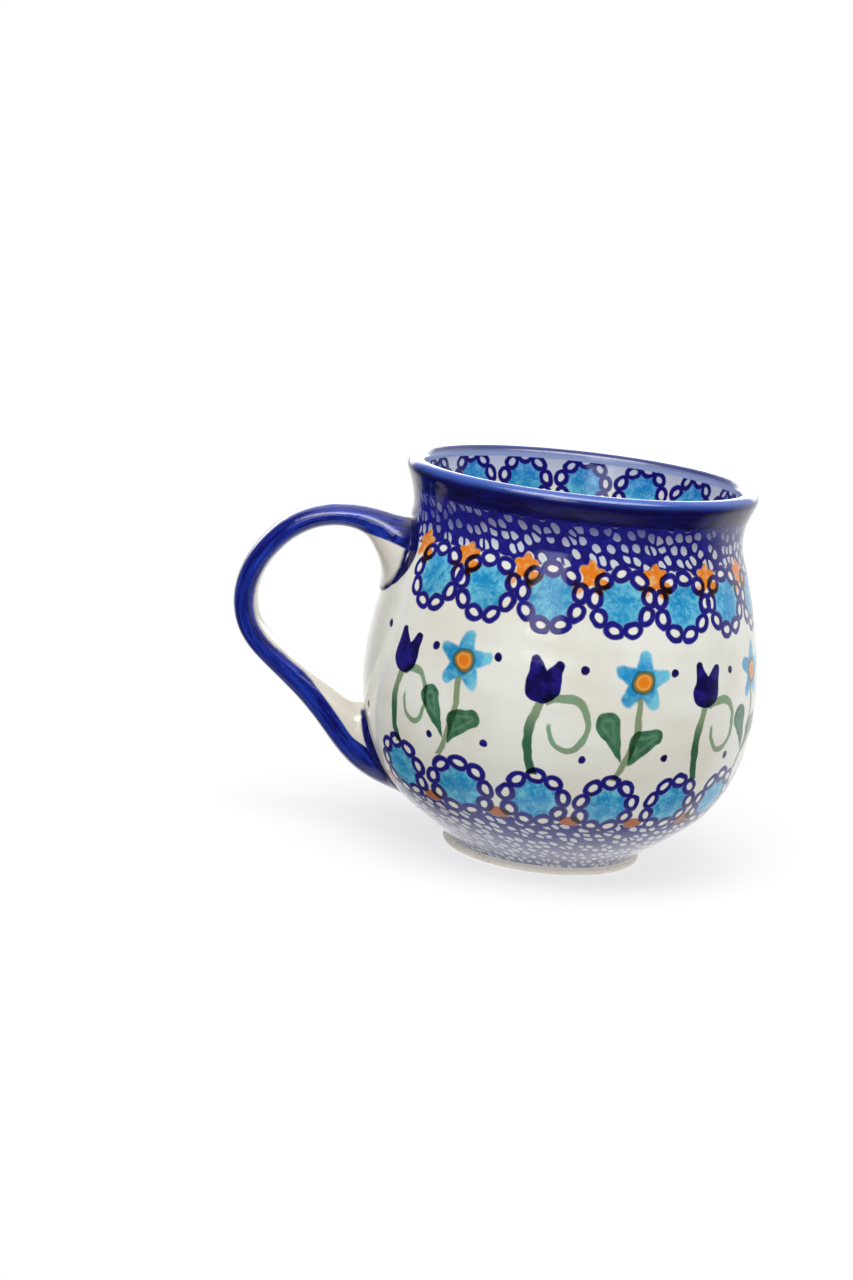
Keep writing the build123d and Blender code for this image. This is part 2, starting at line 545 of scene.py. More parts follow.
def over(colour, ground):
    """The see-through paint that gives this colour when it is laid over the ground."""
    return tuple(min(1.0, c / max(g, 1e-4)) for c, g in zip(colour[:3], ground[:3])) + (1.0,)


CREAM = srgb(227, 226, 217)
COBALT = over(srgb(20, 15, 112), CREAM)
COBALT_LIGHT = over(srgb(34, 34, 138), CREAM)
NAVY = over(srgb(14, 9, 72), CREAM)
NAVY_LIGHT = over(srgb(32, 24, 118), CREAM)
TURQUOISE_DEEP = over(srgb(22, 136, 192), CREAM)
TURQUOISE_LIGHT = over(srgb(112, 192, 220), CREAM)
PETAL_DEEP = over(srgb(34, 138, 192), CREAM)
PETAL_LIGHT = over(srgb(116, 194, 220), CREAM)
ORANGE = over(srgb(248, 124, 24), CREAM)
AMBER = over(srgb(246, 168, 84), CREAM)
RUST = over(srgb(176, 104, 72), CREAM)
PEACH = over(srgb(246, 176, 118), CREAM)
OLIVE = over(srgb(128, 112, 52), CREAM)
GREEN_DARK = over(srgb(52, 98, 74), CREAM)
GREEN_MIDDLE = over(srgb(70, 122, 92), CREAM)
GREEN_LIGHT = over(srgb(122, 158, 128), CREAM)
SAGE = over(srgb(132, 150, 118), CREAM)


# ------------------------------------------------------------------ painted motifs (u, w in millimetres)

BEADS = 9
BEAD_CIRCLE_R = 6.2
BEAD_ACROSS, BEAD_ALONG = 1.95, 2.38
HOLE_ACROSS, HOLE_ALONG = 0.78, 1.2
RING_FILL_R, RING_COVER_R = 4.95, 7.6
STAR_R, STAR_POINT = 2.35, 0.45
BULB_HALF_WIDTH, BULB_HALF_HEIGHT = 3.85, 3.45
PETALS = 5
PETAL_REACH, PETAL_HALF_WIDTH, PETAL_TAPER = 5.35, 2.72, 0.27
TENDRIL_U, TENDRIL_W, TENDRIL_R = 6.2, -7.8, 6.2
TENDRIL_END_DEG, TENDRIL_TURN_DEG = -34.0, 335.0
SPOT_DISORDER = 0.78


def bead_ring(g, u, w, seed):
    """A chain of oval beads: the point's radius and polar angle, the chain's mask and its line's mask."""
    tilt, _, _ = g.random(seed, 3.0)
    radius = g.length(u, w)
    angle = g.math("ARCTAN2", w, u)
    folded = g.wrap(angle - math.pi / 2 + (tilt - 0.5) * 0.3, math.pi / BEADS)
    across = radius * g.math("COSINE", folded) - BEAD_CIRCLE_R
    along = radius * g.math("SINE", folded)
    outer = g.length(across / BEAD_ACROSS, along / BEAD_ALONG) - 1.0
    hole = g.length(across / HOLE_ACROSS, along / HOLE_ALONG) - 1.0
    chain = g.ink(outer * BEAD_ACROSS, 0.2)
    line = chain * (1.0 - g.ink(hole * 0.9, 0.2))
    return radius, angle, chain, line


def ring_fill(g, u, w, radius, angle, seed):
    """Brushed turquoise inside a ring: (mask, paleness)."""
    mask = g.ink(radius - RING_FILL_R, 0.35)
    bent = angle + 0.5 * g.noise(g.point(u, w, seed * 5.7), 0.5, 1.0)
    spokes = g.point(g.math("COSINE", bent) * 1.7, g.math("SINE", bent) * 1.7, radius * 0.42 + seed * 7.3)
    streaks = g.noise(spokes, 2.2, 3.0, 0.6)
    cloud = g.noise(g.point(u, w, seed * 3.1), 0.35, 2.0)
    pale = g.ramp(streaks * 0.75 + cloud * 0.75 + radius * 0.03, 0.66, 1.10)
    return mask, pale


def star(g, u, w):
    """Distance to a small five-pointed dab, drawn out downwards."""
    drawn = w * (1.0 - 0.25 * g.above(0.0, w))
    radius = g.length(u, drawn)
    angle = g.math("ARCTAN2", drawn, u)
    return radius - (STAR_R + STAR_POINT * g.math("COSINE", angle * 5.0 - math.pi / 2))


def drop(g, u, w, start, end, big, small):
    """Distance to a drop that narrows from one round end to the other."""
    du, dw = end[0] - start[0], end[1] - start[1]
    along = ((u - start[0]) * du + (w - start[1]) * dw) / (du * du + dw * dw)
    along = g.least(g.most(along, 0.0), 1.0)
    off = g.length(u - start[0] - along * du, w - start[1] - along * dw)
    return off - big - along * (small - big)


def tulip(g, u, w):
    """Distance to a round bulb with a pointed left ear and a blunt right one."""
    bulb = (g.length(u / BULB_HALF_WIDTH, (w - 0.1) / BULB_HALF_HEIGHT) - 1.0) * 3.6
    left = drop(g, u, w, (-1.1, 1.8), (-2.1, 5.8), 2.5, 0.95)
    right = drop(g, u, w, (1.8, 1.6), (3.2, 5.1), 2.2, 1.0)
    return g.math("SMOOTH_MIN", bulb, g.least(left, right), 0.7)


def blossom(g, u, w, turn):
    """Rounded petals: distance to them, distance from the middle, and distance along a petal."""
    radius = g.length(u, w)
    angle = g.math("ARCTAN2", w, u)
    folded = g.wrap(angle - math.radians(turn), math.pi / PETALS)
    out = radius * g.math("COSINE", folded)
    aside = abs(radius * g.math("SINE", folded))
    along = g.least(out, PETAL_REACH)
    petals = g.length(out - along, aside) - (PETAL_HALF_WIDTH - along * PETAL_TAPER)
    return petals, radius, out


def bowed_stem(g, u, w, top, bottom, bow, half_width):
    """Distance to an upright stroke between two heights whose middle bows sideways."""
    t = (w - bottom[1]) / (top[1] - bottom[1])
    centre = bottom[0] + t * (top[0] - bottom[0]) + t * (1.0 - t) * (4 * bow)
    side = abs(u - centre) - half_width
    ends = g.most(w - top[1], bottom[1] - w)
    return g.most(side, ends)


def tendril(g, u, w):
    """A stroke that leaves the stem, curls round to the right and ends inside its own turn."""
    x, y = (u - TENDRIL_U) * 1.3, w - TENDRIL_W
    radius = g.length(x, y)
    angle = g.math("ARCTAN2", y, x) * DEGREES
    share = (180.0 + g.wrap(TENDRIL_END_DEG - angle, 180.0)) / TENDRIL_TURN_DEG
    opening = g.most(1.0 - share * 5.5, 0.0)
    wanted = TENDRIL_R - share * 1.3 + opening * opening * 2.2
    return abs(radius - wanted) - (1.0 - share * 0.5), g.ramp(share, 1.0, 0.95)


def nearest(g, azimuth, centres):
    """The signed angle from the nearest of some centres, in degrees."""
    best = g.wrap(azimuth - centres[0], 180.0)
    for centre in centres[1:]:
        other = g.wrap(azimuth - centre, 180.0)
        best = g.choose(g.above(abs(best), abs(other)), other, best)
    return best


def pebbles(g, x, y, salt):
    """Rounded pale spots in a dark net, one per unit cell: (mask, each spot's own random number)."""
    cells = g.node("ShaderNodeTexVoronoi", voronoi_dimensions="2D", feature="DISTANCE_TO_EDGE")
    middles = g.node("ShaderNodeTexVoronoi", voronoi_dimensions="2D", feature="F1")
    for node in (cells, middles):
        g.feed(node.inputs["Vector"], g.point(x + 0.5 * y, y + salt))
        node.inputs["Scale"].default_value = 1.0
        node.inputs["Randomness"].default_value = SPOT_DISORDER
    inside = Number(g, cells.outputs["Distance"])
    away = Number(g, middles.outputs["Distance"])
    split = g.node("ShaderNodeSeparateColor")
    g.feed(split.inputs[0], middles.outputs["Color"])
    tone = Number(g, split.outputs[0])
    edge = g.ramp(inside - 0.02 * tone, 0.06, 0.17)
    rounding = g.ramp(away + 0.06 * tone, 0.43, 0.33)
    return edge * rounding, tone


# ------------------------------------------------------------------ where the motifs sit (degrees, millimetres)

UPPER_RINGS, LOWER_RINGS = 17, 16
UPPER_RING_V, LOWER_RING_V = outside_v(65.6), outside_v(21.8)
UPPER_RING_START, LOWER_RING_START = -7.7, -7.4
RINGS_OFF_HANDLE = 25.0
STAR_ABOVE_RING = 6.3
UPPER_SPOTS, LOWER_SPOTS = 92.0, 80.0
UPPER_SPOT_HEIGHT, LOWER_SPOT_HEIGHT = 3.0, 2.5
TULIPS = (-52.7, -7.3, 43.1, 91.0, 139.0, 187.0, 233.0)
BLOSSOMS = (-31.1, 21.0, 70.8, 115.0, 163.0, 210.0)
BLOSSOM_TURN = 86.0
TULIP_V, BLOSSOM_V = outside_v(47.0), outside_v(49.8)
DOT_R, HIGH_DOT_R = 0.85, 0.9
TULIP_DOTS = ((8.6, 4.6, HIGH_DOT_R), (10.0, -14.8, DOT_R))
BLOSSOM_DOTS = ((7.8, 2.0, HIGH_DOT_R), (7.0, -16.8, DOT_R))
SIDE_DOTS = ((-64.2, 52.5), (-73.2, 32.3), (-115.8, 52.2), (-106.8, 32.6))
STEM_FOOT_V = outside_v(27.9)
UPPER_ROOT_V, LOWER_ROOT_V = outside_v(67.0), outside_v(21.5)
UPPER_ROOT_HALF_WIDTH, UPPER_ROOT_HALF_HEIGHT = 16.4, 8.8
LOWER_ROOT_R = 8.6
HAND_SHAKE = 1.1


class WallPoint:
    """Where a point lies on the unrolled wall, moved a little as a painter's hand shakes."""

    def __init__(self, g):
        self.place, (x, y, _) = g.position()
        self.azimuth = g.math("ARCTAN2", x, -y) * DEGREES
        self.per_degree = g.length(x, y) / DEGREES
        wobble = g.node("ShaderNodeTexNoise", noise_dimensions="3D")
        g.feed(wobble.inputs["Vector"], self.place)
        wobble.inputs["Scale"].default_value = 0.28
        wobble.inputs["Detail"].default_value = 1.0
        shaken = g.node("ShaderNodeSeparateColor")
        g.feed(shaken.inputs[0], wobble.outputs["Color"])
        self.shake = (Number(g, shaken.outputs[0]) - 0.5) * HAND_SHAKE
        self.v = g.attribute("v") + (Number(g, shaken.outputs[1]) - 0.5) * HAND_SHAKE
        self.brush = g.noise(self.place, 0.55, 3.0, 0.6)


def ring_bands(g, wall):
    """Both bands of rings from one formula, in which flip turns the lower band upside down."""
    upper = g.above(wall.v, (UPPER_RING_V + LOWER_RING_V) / 2)
    count = g.choose(upper, float(UPPER_RINGS), float(LOWER_RINGS))
    start = g.choose(upper, UPPER_RING_START, LOWER_RING_START)
    flip = g.choose(upper, 1.0, -1.0)
    w = wall.v - g.choose(upper, UPPER_RING_V, LOWER_RING_V)
    pitch = 360.0 / count
    uneven = g.math("COSINE", (wall.azimuth + 5.0) * (3 / DEGREES)) * (1.0 - upper) * 1.6
    turned = wall.azimuth - start - uneven
    cell = g.math("ROUND", turned / pitch)
    u = g.wrap(turned - cell * pitch, 180.0) * wall.per_degree + wall.shake
    side = g.math("SIGN", u)
    half_pitch = pitch * wall.per_degree * 0.5
    band = SimpleNamespace(upper=upper, flip=flip, w=w, between=u - side * half_pitch)
    band.lines = band.fills = band.pales = band.covered = 0.0
    for cell_here, u_here in ((cell, u), (cell + side, u - side * half_pitch * 2.0)):
        seed = g.math("FLOORED_MODULO", cell_here, count) + upper * 40.0
        from_handle = g.wrap(start + cell_here * pitch - HANDLE_AZIMUTH, 180.0)
        shown = g.above(abs(from_handle), RINGS_OFF_HANDLE)
        nudge_u, nudge_w, _ = g.random(seed)
        u_ring = u_here + (nudge_u - 0.5) * 0.9
        w_ring = w + (nudge_w - 0.5) * 0.9
        radius, angle, chain, line = bead_ring(g, u_ring, w_ring, seed)
        fill, pale = ring_fill(g, u_ring, w_ring, radius, angle, seed)
        fill = fill * (1.0 - chain) * shown
        band.lines = g.most(band.lines, line * shown)
        band.fills = g.most(band.fills, fill)
        band.pales = g.most(band.pales, pale * fill)
        band.covered = g.most(band.covered, g.ink(radius - RING_COVER_R, 0.3) * shown)
    return band


def orange_marks(g, band):
    """Stars between the upper rings with dabs on the beads by them, and round dabs between the lower ones."""
    u = band.between - 0.4
    w = band.w * band.flip - STAR_ABOVE_RING
    dab = (g.length((u + 0.4) / 2.3, (w + 1.2) / 1.5) - 1.0) * 1.7
    gap = g.choose(band.upper, star(g, u, w), dab)
    on_right = g.ink(g.length(u - 2.3, w + 3.0) - 1.75, 0.3)
    on_left = g.ink(g.length(u + 2.9, w + 3.3) - 1.35, 0.4)
    on_beads = g.most(on_right, 0.5 * on_left) * (1.0 - band.fills) * band.upper * band.covered
    return gap, g.most(g.ink(gap, 0.25), on_beads)


def pebble_net(g, wall, band, orange_gap):
    """The net beyond the rings, up to the rim and down to the foot: (its mask, its spots, their tones)."""
    per_turn = g.choose(band.upper, UPPER_SPOTS, LOWER_SPOTS)
    spot_height = g.choose(band.upper, UPPER_SPOT_HEIGHT, LOWER_SPOT_HEIGHT)
    turn = g.wrap(wall.azimuth - HANDLE_AZIMUTH - 180.0, 180.0) / 360.0
    spots, tone = pebbles(g, turn * per_turn + wall.shake * 0.2, wall.v / spot_height, band.upper * 31.0)
    past_rings = g.ramp(band.w * band.flip, 5.6, 6.0)
    return past_rings * (1.0 - band.covered) * (1.0 - g.ink(orange_gap - 0.1, 0.3)), spots, tone


def root_strokes(g, wall):
    """Brush strokes round the handle's roots, and the cream ground inside them: (strokes, ground mask)."""
    u = g.wrap(wall.azimuth - HANDLE_AZIMUTH, 180.0) * wall.per_degree
    w = wall.v - UPPER_ROOT_V
    upper_gap = (g.length(u / UPPER_ROOT_HALF_WIDTH, w / UPPER_ROOT_HALF_HEIGHT) - 1.0) * 9.0
    upper_stroke = g.ink(abs(upper_gap - 0.25) - 0.95, 0.2) * g.ramp(abs(u) + w, 2.2, 3.2)
    above_strap = g.ink(upper_gap, 0.2) * g.ramp(w, 0.0, 1.5)
    lower_gap = g.length(u, g.least(wall.v - LOWER_ROOT_V, 0.0) * 0.8) - LOWER_ROOT_R
    taper = g.ramp(wall.v, outside_v(31.5), outside_v(14.0))
    ending = g.ramp(wall.v, outside_v(32.0), outside_v(30.5))
    lower_stroke = g.ink(abs(lower_gap) - 0.25 - taper * 1.1, 0.2) * ending
    in_lower = g.ink(lower_gap, 0.3) * g.ramp(wall.v, outside_v(34.0), outside_v(30.0))
    strokes = g.most(g.most(upper_stroke, above_strap), lower_stroke)
    return strokes, g.most(g.ink(upper_gap, 0.3), in_lower)


def paint_blossoms(g, wall, colour, free):
    """Lays the blossoms, their stems and their leaves over the ground; gives back their dots' distance too."""
    u = nearest(g, wall.azimuth, BLOSSOMS) * wall.per_degree + wall.shake
    w = wall.v - BLOSSOM_V
    petals, radius, along = blossom(g, u, w, BLOSSOM_TURN)
    pale = g.ramp(wall.brush * 0.8 + along * 0.06 + u * 0.03, 0.45, 0.9)
    petal_mask = g.ink(petals, 0.45) * g.ramp(radius, 2.0, 2.7)
    colour = g.paint(colour, petal_mask * free, g.mix(pale, PETAL_DEEP, PETAL_LIGHT))
    halo = g.ramp(radius, 3.0, 2.4) * g.ramp(radius, 1.6, 2.1)
    colour = g.paint(colour, halo * (0.45 + 0.35 * wall.brush), OLIVE)
    colour = g.paint(colour, g.ramp(radius, 2.3, 1.95), g.mix(g.ramp(radius, 1.0, 1.9), ORANGE, AMBER))
    stem = bowed_stem(g, u, w, (-0.8, -2.9), (-4.4, STEM_FOOT_V - BLOSSOM_V), 1.8, 0.7)
    colour = g.paint(colour, g.ink(stem, 0.2) * (1.0 - petal_mask) * 0.95, SAGE)
    left = drop(g, u, w, (-7.3, -9.4), (-3.3, -17.6), 2.7, 0.15)
    right_tip = drop(g, u, w, (3.9, -12.0), (0.6, -13.3), 1.9, 2.7)
    right_base = drop(g, u, w, (0.7, -13.4), (-1.6, -18.4), 2.6, 0.2)
    right = g.math("SMOOTH_MIN", right_tip, right_base, 0.5)
    vein = g.ramp(abs(g.choose(g.above(left, right), right, left) + 1.5), 0.6, 0.1)
    leaf = g.mix(g.ramp(wall.brush, 0.35, 0.65), GREEN_DARK, GREEN_MIDDLE)
    colour = g.paint(colour, g.ink(g.least(left, right), 0.2), g.mix(vein * 0.35, leaf, GREEN_LIGHT))
    return colour, dots_by(g, u, w, BLOSSOM_DOTS)


def paint_tendrils(g, wall, colour):
    """Lays the tulips' stems and tendrils over the ground; gives back the tulips and their dots' distance."""
    u = nearest(g, wall.azimuth, TULIPS) * wall.per_degree + wall.shake
    w = wall.v - TULIP_V
    bulbs = g.ink(tulip(g, u, w), 0.18)
    roomy = g.ramp(wall.azimuth, -24.0, -22.0) * g.ramp(wall.azimuth, 78.0, 76.0)
    curl, curl_end = tendril(g, u / (0.78 + 0.22 * roomy), w)
    green = g.mix(g.ramp(wall.brush, 0.4, 0.6), SAGE, GREEN_LIGHT)
    colour = g.paint(colour, g.ink(curl, 0.2) * curl_end * (0.9 + 0.1 * wall.brush), green)
    stem = g.ink(bowed_stem(g, u, w, (-0.2, -3.2), (-0.2, STEM_FOOT_V - TULIP_V), -1.7, 0.95), 0.2)
    colour = g.paint(colour, stem * (1.0 - bulbs), g.mix(g.ramp(w, -12.0, -4.0), GREEN_DARK, SAGE))
    return colour, bulbs, dots_by(g, u, w, TULIP_DOTS)


def dots_by(g, u, w, dots):
    """The distance to the nearer of the two dots that go with a flower."""
    high, low = (g.length(u - dot_u, w - dot_w) - dot_r for dot_u, dot_w, dot_r in dots)
    return g.least(high, low)


def wall_material():
    """The whole painting of the outside, one paint over another on the cream glaze."""
    g = Graph("painted_glaze_wall")
    wall = WallPoint(g)
    band = ring_bands(g, wall)
    orange_gap, oranges = orange_marks(g, band)
    net, spots, tone = pebble_net(g, wall, band, orange_gap)
    strokes, in_roots = root_strokes(g, wall)
    free = 1.0 - in_roots

    mottle = g.noise(wall.place, 0.06, 3.0, 0.55)
    fleck = g.noise(wall.place, 2.4, 2.0, 0.5)
    colour = g.mix(g.ramp(mottle, 0.35, 0.7), srgb(229, 230, 222), srgb(222, 218, 206))
    colour = g.paint(colour, g.ramp(fleck, 0.66, 0.8) * 0.10, srgb(170, 150, 130))

    # Painted shade: the pale spots darken towards the lip, and further down on the left side.
    left_shade = g.ramp(wall.azimuth, -22.0, -58.0) * g.ramp(wall.azimuth, -140.0, -110.0)
    rim_shade = g.ramp(wall.v + left_shade * 4.5, outside_v(74.5), outside_v(81.5))
    spot_tint = g.mix(rim_shade, over(srgb(200, 204, 216), CREAM), over(srgb(84, 86, 150), CREAM))
    colour = g.paint(colour, net * spots * (0.55 + 0.45 * tone) * free, spot_tint)
    colour = g.paint(colour, band.fills * free, g.mix(band.pales, TURQUOISE_DEEP, TURQUOISE_LIGHT))
    colour, bulbs, tulip_dots = paint_tendrils(g, wall, colour)
    colour, blossom_dots = paint_blossoms(g, wall, colour, free)
    orange = g.mix(g.ramp(wall.brush, 0.45, 0.7), ORANGE, PEACH)
    # The lower band's dabs are rust, darker than the stars: partly cobalt laid over them, partly painted shade
    # low on the wall.
    colour = g.paint(colour, oranges * free, g.mix(band.upper, RUST, orange))

    solid = g.ramp(wall.v, outside_v(81.3), outside_v(81.8))
    blues = g.most(g.most(band.lines, net * (1.0 - spots)) * free, g.most(solid * free, strokes))
    brush_and_foot_reflection = 0.88 + 0.12 * g.ramp(wall.brush, 0.3, 0.6)
    # The cobalt thins with the brush; towards the foot it also turns paler, a painted reflection of the white
    # below.
    brush_and_foot_reflection = brush_and_foot_reflection * (0.7 + 0.3 * g.ramp(wall.v, outside_v(6.0), outside_v(24.0)))
    cobalt = g.mix(g.ramp(wall.brush, 0.4, 0.7), COBALT, COBALT_LIGHT)
    colour = g.paint(colour, blues * brush_and_foot_reflection, g.mix(strokes, cobalt, NAVY))
    # Painted reflection: the lower wall is washed towards pale blue-grey near the foot, where the white below
    # reflects in the glaze.
    foot_painted_reflection = g.ramp(wall.v, outside_v(15.0), outside_v(2.5))
    colour = g.mix(foot_painted_reflection * 0.3, colour, srgb(206, 211, 222))

    dots = g.least(tulip_dots, blossom_dots)
    for dot_azimuth, dot_z in SIDE_DOTS:
        across = g.wrap(wall.azimuth - dot_azimuth, 180.0) * wall.per_degree
        dots = g.least(dots, g.length(across, wall.v - outside_v(dot_z)) - DOT_R)
    ink = g.mix(g.ramp(g.noise(wall.place, 0.35, 3.0), 0.4, 0.65), NAVY, NAVY_LIGHT)
    colour = g.paint(colour, g.most(bulbs, g.ink(dots, 0.18)), ink)

    relief = g.noise(wall.place, 0.22, 2.0) + 0.25 * g.most(blues, bulbs)
    roughness = 0.07 + 0.06 * g.ramp(g.noise(wall.place, 0.12, 3.0), 0.35, 0.7)
    return g.finish(colour, roughness, relief, 0.10)


def rim_material():
    """Cobalt brushed over the lip, thinner and paler where it breaks over the edge, with a painted highlight
    along the crest, and deep below it, darkened as painted shade under the lip.
    """
    g = Graph("cobalt_glaze_rim")
    place, (x, y, _) = g.position()
    azimuth = g.math("ARCTAN2", x, -y)
    v = g.attribute("v")
    streaks = g.noise(g.point(azimuth * 6.0, v * 0.9, 0.0), 1.0, 4.0, 0.6)
    crest = outside_v(HEIGHT - 0.01)
    # Paler along the crest: partly the cobalt breaking thin over the edge, partly a painted highlight.
    edge = g.ramp(abs(v - crest + 0.5), 2.5, 0.6)
    inner = g.ramp(v, crest + 1.4, crest + 3.4)
    # Painted shade: this cobalt is darker than the wall's, for the shade under the lip.
    deep = g.mix(g.ramp(streaks, 0.35, 0.7), srgb(8, 5, 62), srgb(18, 15, 98))
    colour = g.mix(edge * (0.6 + 0.35 * streaks), deep, srgb(68, 102, 190))
    colour = g.mix(inner * 0.85, colour, srgb(158, 174, 224))
    relief = g.noise(place, 0.25, 2.0) + streaks * 0.2
    return g.finish(colour, 0.06 + 0.05 * streaks, relief, 0.08)


def strap_material():
    """Cobalt on the outer face and the sides, cream inside, with the brush's streaks along the strap."""
    g = Graph("cobalt_glaze_handle")
    place, (_, y, z) = g.position()
    along = g.attribute("along")
    depth = g.attribute("depth")
    thick = g.attribute("thick")
    edge_wobble = (g.noise(g.point(along * 0.25, y * 0.2, 0.0), 1.0, 2.0) - 0.5) * 1.6
    gap = g.attribute("gap")
    lower = g.above(BELLY_Z, z)
    limit = g.least(thick - 0.5, 5.7 + 4.5 * g.ramp(z, 24.0, 16.0)) + edge_wobble * 0.3
    painted = g.ramp(depth, limit + 0.25, limit - 0.25)
    reach = 0.3 + 1.3 * g.ramp(z, 34.0, 22.0) * lower + 0.35 * (1.0 - lower)
    edging = g.ramp(gap, reach + 0.2, reach - 0.2) * g.most(1.0 - lower, g.ramp(abs(y), 4.0, 5.5))
    painted = g.most(painted, edging)
    streaks = g.noise(g.point(along * 0.08, y * 0.9, depth * 0.9), 1.0, 4.0, 0.6)
    blue = g.mix(g.ramp(streaks, 0.35, 0.68), srgb(10, 9, 92), srgb(32, 60, 174))
    blue = g.mix(g.ramp(gap, 2.6, 0.8) * 0.7, blue, srgb(10, 6, 60))
    cream = g.mix(g.noise(place, 0.1, 3.0), srgb(229, 227, 218), srgb(215, 206, 192))
    colour = g.mix(painted, cream, blue)
    relief = g.noise(place, 0.25, 2.0) + painted * 0.2
    return g.finish(colour, 0.06 + 0.06 * streaks, relief, 0.10)


INSIDE_RINGS = 15
INSIDE_RING_START = 176.6
INSIDE_RING_V = inside_v(80.4)
INSIDE_RING_SHRINK = 1.14


def inside_material():
    """Cream glaze with one band of rings under the lip, pale blue near the rim: partly the rim's cobalt fading
    out, partly a painted reflection of the blue rim.
    """
    g = Graph("cream_glaze_inside")
    place, (x, y, _) = g.position()
    v = g.attribute("v")
    azimuth = g.math("ARCTAN2", x, -y) * DEGREES
    shake = g.noise(place, 0.3, 1.0) - 0.5
    pitch = 360.0 / INSIDE_RINGS
    cell = g.math("ROUND", (azimuth - INSIDE_RING_START) / pitch)
    seed = g.math("FLOORED_MODULO", cell, float(INSIDE_RINGS))
    u = (azimuth - INSIDE_RING_START - cell * pitch) * (g.length(x, y) / DEGREES) + shake
    w = INSIDE_RING_V - v + shake
    u, w = u * INSIDE_RING_SHRINK, w * INSIDE_RING_SHRINK
    radius, angle, chain, line = bead_ring(g, u, w, seed)
    fill, pale = ring_fill(g, u, w, radius, angle, seed)
    mottle = g.noise(place, 0.07, 3.0, 0.55)
    ground = g.mix(g.ramp(mottle, 0.35, 0.7), srgb(233, 228, 219), srgb(226, 218, 205))
    # Pale blue near the rim: the rim's cobalt fading out, with a painted reflection of the blue rim.
    rim_fade_and_reflection = g.ramp(v, inside_v(78.0), inside_v(85.0))
    colour = g.paint(ground, rim_fade_and_reflection * 0.8, over(srgb(178, 190, 230), CREAM))
    colour = g.paint(colour, fill * (1.0 - chain), g.mix(pale, TURQUOISE_DEEP, TURQUOISE_LIGHT))
    colour = g.paint(colour, line, COBALT)
    relief = g.noise(place, 0.22, 2.0) + 0.2 * line
    return g.finish(colour, 0.08 + 0.05 * mottle, relief, 0.10)


def base_material():
    g = Graph("cream_glaze_base")
    place, _ = g.position()
    mottle = g.noise(place, 0.15, 4.0, 0.6)
    colour = g.mix(g.ramp(mottle, 0.35, 0.7), srgb(232, 227, 217), srgb(214, 203, 186))
    return g.finish(colour, 0.12 + 0.1 * mottle, mottle, 0.15)


def clay_material(name, light, dark):
    """Bare fired stoneware: matt, finely speckled, with small iron specks and a sandy grain."""
    g = Graph(name)
    place, _ = g.position()
    grain = g.noise(place, 3.0, 4.0, 0.65)
    cloud = g.noise(place, 0.2, 3.0)
    specks = g.node("ShaderNodeTexVoronoi", feature="F1")
    g.feed(specks.inputs["Vector"], place)
    specks.inputs["Scale"].default_value = 0.7
    speck = g.ramp(Number(g, specks.outputs["Distance"]), 0.16, 0.08)
    colour = g.mix(g.ramp(cloud * 0.5 + grain * 0.5, 0.35, 0.65), light, dark)
    colour = g.mix(speck * 0.5, colour, srgb(120, 84, 58))
    return g.finish(colour, 0.72 + 0.15 * grain, grain, 0.12)


# ------------------------------------------------------------------ the mug

def place_piece(piece, material, slot, *nodes):
    piece.data.materials.clear()
    piece.data.materials.append(material)
    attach(piece, "root")
    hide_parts(*nodes)


def dress_node(name, material):
    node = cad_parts[name]
    for slot in node.material_slots:
        slot.material = material


def build_mug():
    clay = clay_material("bare_clay", srgb(248, 244, 236), srgb(236, 227, 212))
    slip = clay_material("slip_clay", srgb(220, 208, 190), srgb(188, 170, 146))
    place_piece(wall_coat(), wall_material(), "painted_glaze", "outer_glaze")
    place_piece(rim_coat(), rim_material(), "cobalt_glaze", "rim_glaze")
    place_piece(inside_coat(), inside_material(), "cream_glaze", "inner_glaze")
    place_piece(base_coat(), base_material(), "cream_glaze", "base_glaze")
    place_piece(strap("handle_coat", 0.0), strap_material(), "cobalt_glaze", "handle_glaze")
    place_piece(strap("handle_clay", GLAZE), clay, "clay", "handle")
    place_piece(clay_shell(), clay, "clay", "body")
    dress_node("upper_slip_joint", slip)
    dress_node("lower_slip_joint", slip)


# ------------------------------------------------------------------ floor, light and camera

def build_floor():
    half = 3.0
    corners = [(-half, -half, 0.0), (half, -half, 0.0), (half, half, 0.0), (-half, half, 0.0)]
    mesh = bpy.data.meshes.new("floor")
    mesh.from_pydata(corners, [], [(0, 1, 2, 3)])
    floor = bpy.data.objects.new("floor", mesh)
    bpy.context.scene.collection.objects.link(floor)
    floor.visible_glossy = False
    floor.visible_diffuse = False
    g = Graph("pale_floor")
    place, (x, y, _) = g.position()
    far = g.ramp(g.length(x, y), 40.0, 190.0)
    tone = g.mix(g.noise(place, 0.01, 2.0), srgb(250, 250, 250), srgb(246, 246, 247))
    lit = g.node("ShaderNodeBsdfDiffuse")
    g.feed(lit.inputs[0], tone)
    glow = g.node("ShaderNodeEmission")
    glow.inputs[1].default_value = 1.0
    blend = g.node("ShaderNodeMixShader")
    g.feed(blend.inputs[0], 0.65 + 0.35 * far)
    g.feed(blend.inputs[1], lit.outputs[0])
    g.feed(blend.inputs[2], glow.outputs[0])
    output = g.node("ShaderNodeOutputMaterial")
    g.feed(output.inputs[0], blend.outputs[0])
    mesh.materials.append(g.material)


